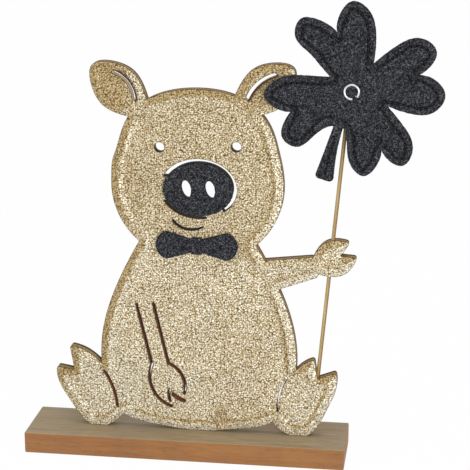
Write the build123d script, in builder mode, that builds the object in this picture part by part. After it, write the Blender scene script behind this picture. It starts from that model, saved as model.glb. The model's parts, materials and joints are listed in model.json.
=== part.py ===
from build123d import *
from math import atan2, cos, degrees, radians, sin
import os

# A glittered pig cut from flat board, standing on a wooden base, with a felt snout and bow tie.
# Its hand holds a thin stick that carries a felt four-leaf clover tied on with a wire ring.
# Millimetres. Origin at the middle of the base's underside, X to the pig's left hand (viewer's
# right), Y to the back, Z up. The pig faces -Y. Outlines on the pig are drawn from its middle
# line (x) and from the top of the base (z), or from the level that the section names.

# Base board
base_length = 200.0
base_depth = 44.0
base_height = 13.5
base_edge_round = 0.8

# Board that the pig is cut from, and its glitter coat with a raised rim along the outline
plate_thickness = 5.5
pig_offset = 7.4
coat_thickness = 0.5
rim_width = 5.0
rim_height = 0.7

# Body: a pear with a slightly curved seat
body_width = 122.5
body_level = 44.0
chest_width = 109.0
chest_level = 83.5
shoulder_width = 72.0
shoulder_level = 122.0
seat_breadth = 96.0
seat_rise = 8.9
seat_middle_breadth = 50.0
seat_middle_rise = 2.2
seat_press = 0.35

# Head, whose widest line lies above the shoulders; ears and face go by that line
head_above_shoulders = 35.5
head_level = shoulder_level + head_above_shoulders
head_width = 105.0
cheek_width = 98.6
cheek_rise = 21.0
temple_width = 85.4
temple_rise = 39.5
crown_rise = 59.0
crown_breadth = 60.0
crown_drop = 7.0
chin_drop = 49.0

# Ears: one outline, set twice
ear_length = 46.8
ear_root_width = 4.0
ear_neck_reach = 10.7
ear_neck_width = 17.0
ear_widest = 25.5
ear_width = 27.6
ear_taper_reach = 38.0
ear_taper_width = 20.2
left_ear_root = (-28.2, 40.5)
left_ear_angle = 137.5
right_ear_root = (20.0, 44.4)
right_ear_angle = 36.0
ear_slot_width = 2.0
left_ear_slot = ((-49.6, 68.1), (-41.4, 62.3), (-37.5, 52.2))
right_ear_slot = ((30.2, 54.0), (36.6, 63.1), (46.6, 68.6))

# Arm that is held out, and its cloven hand
arm_root = (42.0, 102.6)
arm_root_width = 20.5
wrist = (72.0, 109.7)
wrist_width = 13.4
hand_angle = 26.7
hand_reach = 31.4
hand_width = 22.6
hand_widest = 20.4
hand_tip_gap = 10.0
hand_cleft_reach = 23.0
hand_heel_setback = 5.9
hand_heel_flare = 1.1

# Feet: one cloven outline, set twice
left_foot_inner_reach = 56.4
left_foot_outer_reach = 50.2
right_foot_inner_reach = 51.8
right_foot_outer_reach = 51.2
foot_width = 30.4
left_foot_inner_width = 35.6
foot_widest = 28.0
foot_tip_gap = 15.5
foot_cleft_reach = 41.9
left_foot_heel = (-53.2, 3.2)
left_foot_angle = 127.6
right_foot_heel = (53.8, 1.6)
right_foot_angle = 60.9
hoof_tip_round = 1.6
left_foot_slot_width = 1.6
right_foot_slot_width = 0.8
left_foot_slot = ((-59.5, 36.6), (-54.3, 26.2), (-51.6, 13.8))
right_foot_slot = ((54.8, 36.1), (50.6, 26.2), (49.7, 15.6))

# Arm that hangs: two slits down its sides, and its hoof between them
arm_slit_width = 1.1
hoof_wedge_width = 1.9
arm_slit_outer = ((-38.2, 81.1), (-32.6, 57.4), (-29.1, 42.4))
arm_slit_outer_hoof = ((-29.1, 42.4), (-29.0, 26.4), (-17.1, 15.3))
arm_slit_inner = ((-27.6, 82.1), (-23.2, 62.9), (-18.7, 43.9))
arm_slit_inner_hoof = ((-18.7, 43.9), (-10.6, 37.0), (-8.8, 24.1))
hoof_cleft_slit = ((-18.0, 26.2), (-18.6, 22.6), (-18.0, 19.2))
hoof_wedge_slit = ((-15.6, 23.0), (-12.6, 20.8), (-9.1, 19.4))

# Face
eye_diameter = 6.1
left_eye = (-22.7, 23.2)
right_eye = (23.8, 24.6)
snout_middle = (0.9, -1.7)
snout_width = 43.0
snout_height = 33.2
snout_slot_width = 2.4
snout_slot_lap = 0.6
snout_bridge_left = 15.0
snout_bridge_right = 11.0
snout_bridge_right_angle = -57.0
nostril_width = 5.5
nostril_height = 10.7
nostril_board_clearance = 1.0
nostril_gap = 14.5
nostril_lean = 8.0
smile_width = 1.4
smile_line = ((-14.7, -21.8), (-5.6, -26.9), (3.1, -24.9))

# Felt pieces glued to the pig; the bow tie goes by the shoulders
felt_thickness = 2.0
bow_middle = (-0.3, -1.5)
bow_span = 50.4
bow_wing_height = 17.6
bow_wing_widest = 18.6
bow_waist_height = 7.0
bow_knot_width = 8.0
bow_knot_height = 10.9
bow_knot_round = 2.0

# Stick through the hand and in the cleft of the foot
stick_diameter = 2.4
stick_clearance = 0.05
stick_socket_depth = 4.0
stick_foot_setback = 0.75
stick_above_ring = 8.0
grip_reach = 10.2

# Clover: two felt layers sewn together, on the front of the stick
clover_level = 218.2
clover_felt_thickness = 1.8
clover_stick_gap = 0.3
clover_ear_gap = 0.45
# Clover's leaves, lobe by lobe from the ring's middle: each lobe is a curve from its own sharp
# corner to the next lobe's, and a lobe of one point is a straight line where the stem joins
clover_lobes = (
    ((-12.8, 8.1), (-18.8, 14.9), (-25.2, 22.0), (-33.4, 31.6), (-30.5, 41.4), (-19.6, 41.0)),
    ((-8.9, 33.7), (-7.9, 44.5), (-0.4, 52.2), (8.4, 47.6), (13.2, 34.6)),
    ((12.2, 16.6), (24.8, 26.9), (39.4, 31.5), (47.9, 24.3), (43.1, 13.9)),
    ((37.4, 10.1), (46.4, 8.4), (53.7, -1.5), (47.1, -11.3), (33.5, -12.3)),
    ((20.6, -8.0), (30.3, -19.8), (36.0, -34.5), (30.5, -43.4), (21.5, -39.9)),
    ((17.7, -34.1), (14.9, -44.5), (7.6, -50.4), (0.2, -44.5), (-2.4, -34.0)),
    ((-3.2, -22.5),),
    ((-10.2, -20.9), (-21.8, -27.1), (-32.2, -34.0), (-40.6, -28.5), (-39.6, -19.5)),
    ((-35.8, -13.1), (-45.0, -10.6), (-51.3, -3.6), (-44.2, 5.6), (-29.0, 8.7)),
)

# Clover's stem and the seam inside its edge
stem_angle = -106.3
stem_reach = 55.8
stem_neck_reach = 34.0
stem_neck_width = 6.8
stem_end_width = 12.0
stem_bow = 1.3
stem_corner_round = 2.6
seam_inset = 4.4
stem_seam_start = 27.0
seam_groove_width = 1.0
seam_groove_depth = 0.6
thread_width = 0.7
thread_thickness = 0.45

# Wire ring on the clover, whose tail goes through the felt and hooks round the stick
wire_diameter = 1.4
wire_clearance = 0.08
ring_radius = 4.2
ring_offset = 1.4
ring_start_angle = 275.0
ring_end_angle = -30.0
wire_bend_radius = 1.2
tail_hole_clearance = 0.3

# Wood screws up through the base into the feet
screw_spread = 118.0
screw_diameter = 3.0
screw_length = 28.0
screw_head_diameter = 6.4
screw_point_length = 4.0
screw_clearance = 0.05
screw_head_sink = 0.3
screw_recess_length = 3.2
screw_recess_width = 0.8
screw_recess_depth = 1.0

# Planes that the pig's layers are drawn on: x along the base, y up, facing the front
pig_middle = Plane(origin=(pig_offset, 0, base_height), x_dir=(1, 0, 0), z_dir=(0, -1, 0))
plate_back = pig_middle.offset(-plate_thickness / 2)
plate_front = pig_middle.offset(plate_thickness / 2)
coat_front = plate_front.offset(coat_thickness)


def along(point, angle, distance):
    """Point at a distance from another, in the direction of an angle in degrees."""
    return (point[0] + distance * cos(radians(angle)), point[1] + distance * sin(radians(angle)))


def above(level, *points):
    """Points whose heights are given from a level, as points on the pig."""
    return [(x, level + z) for x, z in points]


def head_shape(inset):
    """Head, drawn in by the inset: a broad crown, and half an ellipse below the widest line."""
    side = head_width / 2 - inset
    crown = head_level + crown_rise - inset
    cheek = cheek_width / 2 - inset
    temple = temple_width / 2 - inset
    shoulder = crown_breadth / 2 - inset / 2
    with BuildSketch() as shape:
        with BuildLine():
            Spline(
                (side, head_level),
                (cheek, head_level + cheek_rise),
                (temple, head_level + temple_rise),
                (shoulder, crown - crown_drop),
                (0, crown),
                (-shoulder, crown - crown_drop),
                (-temple, head_level + temple_rise),
                (-cheek, head_level + cheek_rise),
                (-side, head_level),
                tangents=[(0, 1), (0, -1)],
            )
            EllipticalCenterArc(
                (0, head_level), side, chin_drop - inset, start_angle=180, arc_size=180
            )
        make_face()
    return shape.sketch


def ear_shape(inset):
    """Ear along +X from its root, widest past its middle and round at the tip."""
    side = [
        (0, ear_root_width / 2),
        (ear_neck_reach, ear_neck_width / 2 - inset),
        (ear_widest, ear_width / 2 - inset),
        (ear_taper_reach, ear_taper_width / 2 - inset),
    ]
    other_side = [(x, -y) for x, y in reversed(side)]
    with BuildSketch() as shape:
        with BuildLine():
            edge = Spline(*side, (ear_length - inset, 0), *other_side)
            Line(edge @ 1, edge @ 0)
        make_face()
    return shape.sketch


def body_shape(inset):
    """Body: a pear with a curved seat that reaches a little below the seat line, where it is cut flat."""
    right_side = [
        (shoulder_width / 2 - inset, shoulder_level),
        (chest_width / 2 - inset, chest_level),
        (body_width / 2 - inset, body_level),
        (seat_breadth / 2 - inset, seat_rise + inset),
        (seat_middle_breadth / 2 - inset / 2, seat_middle_rise + inset),
    ]
    left_side = [(-x, z) for x, z in reversed(right_side)]
    with BuildSketch() as shape:
        with BuildLine():
            edge = Spline(*right_side, (0, inset - seat_press), *left_side)
            Line(edge @ 1, edge @ 0)
        make_face()
    return shape.sketch


def hoof_shape(upper, lower, widest, tip_gap, cleft_reach, heel_flare):
    """Cloven hoof along +X from its heel at the origin: each half has a reach and a width.

    The heel is round where its flare is 0, and the more pointed the larger the flare.
    """
    (upper_reach, upper_width), (lower_reach, lower_width) = upper, lower
    with BuildSketch() as shape:
        with BuildLine():
            upper = Spline(
                (0, 0),
                (widest, upper_width / 2),
                (upper_reach, tip_gap / 2),
                tangents=[(heel_flare, 1), (1, -1)],
            )
            lower = Spline(
                (0, 0),
                (widest, -lower_width / 2),
                (lower_reach, -tip_gap / 2),
                tangents=[(heel_flare, -1), (1, 1)],
            )
            Polyline(upper @ 1, (cleft_reach, 0), lower @ 1)
        make_face()
        fillet(shape.vertices().sort_by(Axis.X)[-2:], hoof_tip_round)
    return shape.sketch


def hoof_pad_shape(cleft_reach, width, inset):
    """Oval that a hoof's rim leaves bare, between its heel and its cleft."""
    with BuildSketch() as shape:
        with Locations((cleft_reach / 2, 0)):
            Ellipse(cleft_reach / 2 - inset, width / 2 - inset)
    return shape.sketch


def arm_shape(inset):
    """Arm along +X from inside the body to the wrist, slightly tapered."""
    reach = wrist[0] - arm_root[0]
    root_side = arm_root_width / 2 - inset
    wrist_side = wrist_width / 2 - inset
    with BuildSketch() as shape:
        with BuildLine():
            Polyline(
                (0, -root_side),
                (reach, -wrist_side),
                (reach + wrist_side, 0),
                (reach, wrist_side),
                (0, root_side),
                close=True,
            )
        make_face()
    return shape.sketch


def pig_outline(inset, left_foot, right_foot, hand):
    """Silhouette of the whole pig, every form drawn in by the inset and cut flat at the seat."""
    arm_angle = degrees(atan2(wrist[1] - arm_root[1], wrist[0] - arm_root[0]))
    ear = ear_shape(inset)
    left_root, right_root = above(head_level, left_ear_root, right_ear_root)
    forms = [
        (head_shape(inset), (0, 0), 0),
        (body_shape(inset), (0, 0), 0),
        (ear, left_root, left_ear_angle),
        (ear, right_root, right_ear_angle),
        (arm_shape(inset), arm_root, arm_angle),
        (hand, along(wrist, hand_angle, -hand_heel_setback), hand_angle),
        (left_foot, left_foot_heel, left_foot_angle),
        (right_foot, right_foot_heel, right_foot_angle),
    ]
    with BuildSketch() as outline:
        for form, place, angle in forms:
            with Locations(Location((*place, 0), (0, 0, angle))):
                add(form)
        with Locations((0, inset)):
            Rectangle(
                2 * base_length, base_height,
                align=(Align.CENTER, Align.MAX), mode=Mode.SUBTRACT,
            )
    return outline.sketch


def slit(points, width):
    """Slot with round ends along an arc through three points."""
    with BuildLine(mode=Mode.PRIVATE) as line:
        ThreePointArc(*points)
    SlotArc(line.edge(), width)


def snout_slot_shape():
    """Two slots that outline the snout, with a bridge left between them on either side."""
    slot_x = snout_width / 2 - snout_slot_lap
    slot_y = snout_height / 2 - snout_slot_lap
    with BuildSketch() as shape:
        with Locations(snout_place):
            Ellipse(slot_x + snout_slot_width, slot_y + snout_slot_width)
            Ellipse(slot_x, slot_y, mode=Mode.SUBTRACT)
        with Locations(Location((*snout_place, 0), (0, 0, 180))):
            Rectangle(
                snout_width, snout_bridge_left,
                align=(Align.MIN, Align.CENTER), mode=Mode.SUBTRACT,
            )
        with Locations(Location((*snout_place, 0), (0, 0, snout_bridge_right_angle))):
            Rectangle(
                snout_width, snout_bridge_right,
                align=(Align.MIN, Align.CENTER), mode=Mode.SUBTRACT,
            )
    return shape.sketch


def nostril_shape(clearance):
    """Two upright ovals that lean a little to the left, larger all round by the clearance."""
    with BuildSketch() as shape:
        with Locations(snout_place):
            with GridLocations(nostril_gap, 0, 2, 1):
                Ellipse(
                    nostril_width / 2 + clearance, nostril_height / 2 + clearance, rotation=nostril_lean
                )
    return shape.sketch


def bow_shape():
    """Bow tie: two wings and the knot, cut in one."""
    with BuildSketch() as shape:
        with BuildLine():
            Line((0, bow_waist_height / 2), (bow_wing_widest, bow_wing_height / 2))
            ThreePointArc(
                (bow_wing_widest, bow_wing_height / 2),
                (bow_span / 2, 0),
                (bow_wing_widest, -bow_wing_height / 2),
            )
            Line((bow_wing_widest, -bow_wing_height / 2), (0, -bow_waist_height / 2))
            mirror(about=Plane.YZ)
        make_face()
        RectangleRounded(bow_knot_width, bow_knot_height, bow_knot_round)
    return shape.sketch


snout_place, left_eye_place, right_eye_place = above(head_level, snout_middle, left_eye, right_eye)
bow_place = above(shoulder_level, bow_middle)[0]
foot_sizes = (foot_widest, foot_tip_gap, foot_cleft_reach, 0)
hand_sizes = (hand_widest, hand_tip_gap, hand_cleft_reach, hand_heel_flare)
hand_half = (hand_reach, hand_width)
foot_pad = hoof_pad_shape(foot_cleft_reach, foot_width, rim_width)
hand_pad = hoof_pad_shape(hand_cleft_reach, hand_width, rim_width)
pig_silhouette = pig_outline(
    0,
    hoof_shape(
        (left_foot_outer_reach, foot_width), (left_foot_inner_reach, left_foot_inner_width), *foot_sizes
    ),
    hoof_shape(
        (right_foot_inner_reach, foot_width), (right_foot_outer_reach, foot_width), *foot_sizes
    ),
    hoof_shape(hand_half, hand_half, *hand_sizes),
)
pig_inside_rim = pig_outline(rim_width, foot_pad, foot_pad, hand_pad)
nostrils = nostril_shape(0)
board_nostrils = nostril_shape(nostril_board_clearance)
snout_slots = snout_slot_shape()
bow = bow_shape()

# Openings sawn through the pig: eyes, nostrils, ear and foot slots, smile and arm slits
with BuildSketch() as openings:
    with Locations(left_eye_place, right_eye_place):
        Circle(eye_diameter / 2)
    add(board_nostrils)
    add(snout_slots)
    slit(above(head_level, *left_ear_slot), ear_slot_width)
    slit(above(head_level, *right_ear_slot), ear_slot_width)
    slit(left_foot_slot, left_foot_slot_width)
    slit(right_foot_slot, right_foot_slot_width)
    slit(above(head_level, *smile_line), smile_width)
    for line in (arm_slit_outer, arm_slit_outer_hoof, arm_slit_inner, arm_slit_inner_hoof):
        slit(line, arm_slit_width)
    slit(hoof_cleft_slit, arm_slit_width)
    slit(hoof_wedge_slit, hoof_wedge_width)

# Stick: from the cleft of the right foot, through the hand, to the clover in front of the ear
foot_cleft_point = along(right_foot_heel, right_foot_angle, foot_cleft_reach)
grip_point = along(wrist, hand_angle, grip_reach)
stick_radius = stick_diameter / 2
rim_front = plate_thickness / 2 + coat_thickness + rim_height
stick_clover_y = -(rim_front + clover_ear_gap) + clover_stick_gap + stick_radius
stick_rise = clover_level - foot_cleft_point[1]
grip_rise = grip_point[1] - foot_cleft_point[1]
stick_slope_x = (grip_point[0] - foot_cleft_point[0]) / grip_rise
stick_slope_y = (stick_clover_y - stick_foot_setback) / stick_rise
stick_direction = Vector(stick_slope_x, stick_slope_y, 1).normalized()
stick_foot = Vector(
    pig_offset + foot_cleft_point[0], stick_foot_setback, base_height + foot_cleft_point[1]
)
stick_at_clover = stick_foot + stick_direction * (stick_rise / stick_direction.Z)
stick_plane = Plane(
    origin=stick_foot - stick_direction * stick_socket_depth, x_dir=(1, 0, 0), z_dir=stick_direction
)
stick_length = stick_socket_depth + stick_rise / stick_direction.Z + stick_above_ring
stick_bore_length = stick_length - stick_above_ring - stem_reach

# Base board, with countersunk holes from below for the screws
screw_places = [(pig_offset + side * screw_spread / 2, 0) for side in (-1, 1)]
with BuildPart() as base_board:
    Box(base_length, base_depth, base_height, align=(Align.CENTER, Align.CENTER, Align.MIN))
    fillet(base_board.edges(), base_edge_round)
    for x, y in screw_places:
        with Locations(Plane(origin=(x, y, screw_head_sink), z_dir=(0, 0, -1)).location):
            CounterSinkHole(
                screw_diameter / 2 + screw_clearance,
                screw_head_diameter / 2 + screw_clearance,
                depth=base_height,
                counter_sink_angle=90,
            )
base_board.part.label = "base_board"

# Pig board, with the stick's bore through hand and cleft and the screws' pilot holes
with BuildPart() as pig_plate:
    with BuildSketch(plate_back):
        add(pig_silhouette)
        add(openings.sketch, mode=Mode.SUBTRACT)
    extrude(amount=plate_thickness)
    with BuildSketch(stick_plane):
        Circle(stick_radius + stick_clearance)
    extrude(amount=stick_bore_length, mode=Mode.SUBTRACT)
    with BuildSketch(Plane.XY.offset(base_height)):
        with Locations(*screw_places):
            Circle(screw_diameter / 2 + screw_clearance)
    extrude(amount=screw_length + screw_head_sink - base_height + screw_clearance, mode=Mode.SUBTRACT)
pig_plate.part.label = "pig_plate"

# Glitter coat on the front, with its raised rim
with BuildPart() as glitter_front:
    with BuildSketch(plate_front):
        add(pig_silhouette)
        add(openings.sketch, mode=Mode.SUBTRACT)
    extrude(amount=coat_thickness)
    with BuildSketch(coat_front):
        add(pig_silhouette)
        add(pig_inside_rim, mode=Mode.SUBTRACT)
        add(openings.sketch, mode=Mode.SUBTRACT)
    extrude(amount=rim_height)
glitter_front.part.label = "glitter_front"

# Felt snout with its nostrils
with BuildPart() as felt_snout:
    with BuildSketch(coat_front):
        with Locations(snout_place):
            Ellipse(snout_width / 2, snout_height / 2)
        add(nostrils, mode=Mode.SUBTRACT)
    extrude(amount=felt_thickness)
felt_snout.part.label = "felt_snout"

# Felt bow tie
with BuildPart() as felt_bow_tie:
    with BuildSketch(coat_front):
        with Locations(bow_place):
            add(bow)
    extrude(amount=felt_thickness)
felt_bow_tie.part.label = "felt_bow_tie"

# Stick
with BuildPart() as stick:
    with BuildSketch(stick_plane):
        Circle(stick_radius)
    extrude(amount=stick_length)
stick.part.label = "stick"

# Clover, drawn on the plane of its back from the place where the stick passes the ring
clover_normal = Vector(1, 0, 0).cross(stick_direction).normalized()
clover_back = Plane(
    origin=stick_at_clover + clover_normal * (stick_radius + clover_stick_gap),
    x_dir=(1, 0, 0),
    z_dir=clover_normal,
)
clover_middle = clover_back.offset(clover_felt_thickness)
clover_front = clover_middle.offset(clover_felt_thickness)
ring_middle = (ring_offset, 0)


def lobe_points(lobe, next_lobe, inset):
    """Points of a lobe's curve, drawn in: its corners towards the ring, the others squarely."""
    points = [Vector(*point) for point in (*lobe, next_lobe[0])]
    drawn = []
    for before, point, after in zip(points, points[1:], points[2:]):
        run = (after - before).normalized()
        drawn.append(point + Vector(run.Y, -run.X) * inset)
    corners = [point - point.normalized() * inset for point in (points[0], points[-1])]
    return [corners[0], *drawn, corners[1]]


def leaves_shape(inset):
    """The four leaves together, drawn in by the inset."""
    with BuildSketch() as shape:
        with BuildLine():
            for lobe, next_lobe in zip(clover_lobes, clover_lobes[1:] + clover_lobes[:1]):
                points = [point + Vector(*ring_middle) for point in lobe_points(lobe, next_lobe, inset)]
                if len(points) > 2:
                    Spline(*points)
                else:
                    Line(*points)
        make_face()
    return shape.sketch


def stem_shape():
    """Stem from the heart outwards, wider and round-cornered at its end."""
    with BuildSketch() as shape:
        with BuildLine():
            right = Spline(
                (0, stem_neck_width / 2),
                (stem_neck_reach, stem_neck_width / 2 - stem_bow),
                (stem_reach, stem_end_width / 2),
            )
            left = Spline(
                (0, -stem_neck_width / 2),
                (stem_neck_reach, -stem_neck_width / 2 - stem_bow),
                (stem_reach, -stem_end_width / 2),
            )
            Line(right @ 0, left @ 0)
            Line(right @ 1, left @ 1)
        make_face()
        fillet(shape.vertices().group_by(Axis.X)[-1], stem_corner_round)
    return shape.sketch


leaves = leaves_shape(0)
stem = stem_shape()
with BuildSketch() as clover_outline:
    add(leaves)
    with Locations(Location((*ring_middle, 0), (0, 0, stem_angle))):
        add(stem)


def seam_band(width):
    """Band of a given width along the seam: an even distance inside the leaves, and down the stem."""
    outer = leaves_shape(seam_inset - width / 2)
    inner = leaves_shape(seam_inset + width / 2)
    with BuildSketch() as band:
        add(outer)
        add(inner, mode=Mode.SUBTRACT)
        with Locations(Location((*ring_middle, 0), (0, 0, stem_angle))):
            with BuildLine(mode=Mode.PRIVATE) as middle:
                ThreePointArc((0, 0), (stem_neck_reach, -stem_bow), (stem_reach, 0))
            stitched = middle.edge().trim(stem_seam_start / stem_reach, 1 - seam_inset / stem_reach)
            SlotArc(stitched, width)
    return band.sketch


seam_groove = seam_band(seam_groove_width)
seam_thread = seam_band(thread_width)

# Wire: an open ring on the front, a tail through both felts, and a hook round the stick
wire_radius = wire_diameter / 2
ring_height = 2 * clover_felt_thickness + wire_radius + wire_clearance
ring_end = along(ring_middle, ring_end_angle, ring_radius)
tail_heading = ring_end_angle - 90
tail = along(ring_end, tail_heading, wire_bend_radius)
stick_lean = degrees(atan2(stick_direction.X, clover_back.y_dir.dot(stick_direction)))
across = Vector(-cos(radians(stick_lean)), sin(radians(stick_lean)))
tail_distance = -(Vector(*tail).dot(across))
stick_depth = -(stick_radius + clover_stick_gap)
hook_radius = stick_radius + wire_clearance + wire_radius
hook_depth = stick_depth - hook_radius


def wire_point(distance, depth):
    """Point of the wire's tail and hook, by its distance from the tail towards the stick."""
    place = Vector(*tail) + across * distance
    return clover_back.from_local_coords(Vector(place.X, place.Y, depth))


wire_plane = clover_back.offset(ring_height)
tail_turn = radians(tail_heading)
tail_tangent = wire_plane.x_dir * cos(tail_turn) + wire_plane.y_dir * sin(tail_turn)
hook_tangent = wire_plane.x_dir * across.X + wire_plane.y_dir * across.Y
tail_top = wire_point(0, ring_height - wire_bend_radius)
tail_foot = wire_point(0, hook_depth + wire_bend_radius)
hook_turn = wire_point(wire_bend_radius, hook_depth)
hook_start = wire_point(tail_distance, hook_depth)
hook_end = wire_point(tail_distance + hook_radius, stick_depth)
wire_tip = wire_point(tail_distance + hook_radius, -wire_clearance)
with BuildPart() as wire_ring:
    with BuildLine(wire_plane) as ring_line:
        CenterArc(ring_middle, ring_radius, ring_start_angle, ring_end_angle - ring_start_angle)
    with BuildLine() as wire_path:
        add(ring_line.line)
        TangentArc(ring_line.line @ 1, tail_top, tangent=tail_tangent)
        Line(tail_top, tail_foot)
        TangentArc(tail_foot, hook_turn, tangent=-clover_normal)
        Line(hook_turn, hook_start)
        TangentArc(hook_start, hook_end, tangent=hook_tangent)
        Line(hook_end, wire_tip)
    with BuildSketch(Plane(origin=ring_line.line @ 0, z_dir=ring_line.line % 0)):
        Circle(wire_radius)
    sweep(path=wire_path.wire())
wire_ring.part.label = "wire_ring"

# Front and back felt of the clover, each with the seam's groove on its outer face
with BuildPart() as clover_front_felt:
    with BuildSketch(clover_middle):
        add(clover_outline.sketch)
        with Locations(tail):
            Circle(wire_radius + tail_hole_clearance, mode=Mode.SUBTRACT)
    extrude(amount=clover_felt_thickness)
    with BuildSketch(clover_front):
        add(seam_groove)
    extrude(amount=-seam_groove_depth, mode=Mode.SUBTRACT)
clover_front_felt.part.label = "clover_front_felt"

with BuildPart() as clover_back_felt:
    with BuildSketch(clover_back):
        add(clover_outline.sketch)
        with Locations(tail):
            Circle(wire_radius + tail_hole_clearance, mode=Mode.SUBTRACT)
    extrude(amount=clover_felt_thickness)
    with BuildSketch(clover_back):
        add(seam_groove)
    extrude(amount=seam_groove_depth, mode=Mode.SUBTRACT)
clover_back_felt.part.label = "clover_back_felt"

# Sewing thread, lying in the bottom of either groove
with BuildPart() as clover_seam:
    with BuildSketch(clover_front.offset(-seam_groove_depth)):
        add(seam_thread)
    extrude(amount=thread_thickness)
    with BuildSketch(clover_back.offset(seam_groove_depth)):
        add(seam_thread)
    extrude(amount=-thread_thickness)
clover_seam.part.label = "clover_seam"

# Screws: countersunk head with a cross recess, plain shank and point
head_height = (screw_head_diameter - screw_diameter) / 2
with BuildPart() as base_screws:
    for x, y in screw_places:
        with BuildSketch(Plane(origin=(x, y, screw_head_sink), x_dir=(1, 0, 0), z_dir=(0, -1, 0))):
            with BuildLine():
                Polyline(
                    (0, 0),
                    (screw_head_diameter / 2, 0),
                    (screw_diameter / 2, head_height),
                    (screw_diameter / 2, screw_length - screw_point_length),
                    (0, screw_length),
                    close=True,
                )
            make_face()
        revolve(axis=Axis((x, y, 0), (0, 0, 1)))
        with BuildSketch(Plane.XY.offset(screw_head_sink)):
            with Locations((x, y)):
                Rectangle(screw_recess_length, screw_recess_width)
                Rectangle(screw_recess_width, screw_recess_length)
        extrude(amount=screw_recess_depth, mode=Mode.SUBTRACT)
base_screws.part.label = "base_screws"

os.makedirs("parts", exist_ok=True)
export_step(base_board.part, "parts/base_board.step")
export_step(pig_plate.part, "parts/pig_plate.step")
export_step(glitter_front.part, "parts/glitter_front.step")
export_step(felt_snout.part, "parts/felt_snout.step")
export_step(felt_bow_tie.part, "parts/felt_bow_tie.step")
export_step(stick.part, "parts/stick.step")
export_step(clover_front_felt.part, "parts/clover_front_felt.step")
export_step(clover_back_felt.part, "parts/clover_back_felt.step")
export_step(clover_seam.part, "parts/clover_seam.step")
export_step(wire_ring.part, "parts/wire_ring.step")
export_step(base_screws.part, "parts/base_screws.step")
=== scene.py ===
"""Looks of a glittered board pig on a wooden base, with felt snout, bow tie and clover on a stick.

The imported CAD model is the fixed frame. The glitter coat and the felt pieces are rebuilt here as
finely divided reliefs cut to the outlines of their CAD nodes, the seam becomes single stitches, and
every other node keeps its shape and gets a finish made of shader nodes.
"""
import json
import logging
import math
from collections.abc import Sequence
from dataclasses import dataclass
from enum import Enum

import bpy
import numpy as np
from mathutils import Matrix, Vector
from mathutils.geometry import delaunay_2d_cdt
from mathutils.kdtree import KDTree


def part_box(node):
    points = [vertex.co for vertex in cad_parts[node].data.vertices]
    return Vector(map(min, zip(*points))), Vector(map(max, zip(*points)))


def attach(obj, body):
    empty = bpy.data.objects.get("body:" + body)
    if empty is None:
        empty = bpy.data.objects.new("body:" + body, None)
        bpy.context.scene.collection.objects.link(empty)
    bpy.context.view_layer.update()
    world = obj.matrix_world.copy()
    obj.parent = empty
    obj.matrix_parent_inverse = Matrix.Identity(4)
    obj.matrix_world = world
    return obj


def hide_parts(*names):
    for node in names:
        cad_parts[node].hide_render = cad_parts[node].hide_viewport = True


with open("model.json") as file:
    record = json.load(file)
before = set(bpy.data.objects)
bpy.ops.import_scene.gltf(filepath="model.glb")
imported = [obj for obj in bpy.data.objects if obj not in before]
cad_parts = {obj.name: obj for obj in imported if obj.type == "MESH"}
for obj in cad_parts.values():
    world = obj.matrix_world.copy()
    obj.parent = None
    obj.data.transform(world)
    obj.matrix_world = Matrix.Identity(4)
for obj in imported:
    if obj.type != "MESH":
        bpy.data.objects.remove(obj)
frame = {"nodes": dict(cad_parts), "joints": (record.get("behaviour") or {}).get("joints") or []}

LOG = logging.getLogger("pig")
MM = 0.001
SEED = 20
TINY = 1e-9
WHITE = (1, 1, 1, 1)
MIDDLE = (0.5, 0.5, 0.5)
FLAT_WITHIN = 0.005
NEAR_RUNS = 8
STRIP_POINTS = 200
OVAL_END = 1.15
OVAL_FADE = 0.4

Array = np.ndarray
Colour = tuple[float, float, float, float]
Shades = tuple[Colour, Colour, Colour]
Spot = tuple[float, float, float]
Stops = Sequence[tuple[float, Colour]]
Node = bpy.types.Node
Outputs = bpy.types.NodeOutputs
Socket = bpy.types.NodeSocket
Tree = bpy.types.NodeTree
Material = bpy.types.Material
Piece = bpy.types.Object


class Body(Enum):
    """Rigid bodies that rebuilt pieces ride on."""

    PIG = "pig"
    CLOVER = "clover"


class Face(Enum):
    """Side of a flat CAD node whose outline is read."""

    LOW = "low"
    HIGH = "high"


class Kind(Enum):
    """Kinds of socket on a shader node group."""

    VECTOR = "NodeSocketVector"
    COLOUR = "NodeSocketColor"
    VALUE = "NodeSocketFloat"


VECTOR, COLOUR, VALUE = Kind


def srgb(*channels: int) -> Colour:
    """Turn a display colour, each channel from 0 to 255, into the linear one that sockets take."""
    shares = (channel / 255 for channel in channels)
    return (*(s / 12.92 if s <= 0.04045 else ((s + 0.055) / 1.055) ** 2.4 for s in shares), 1.0)


# Shader node helpers


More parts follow.
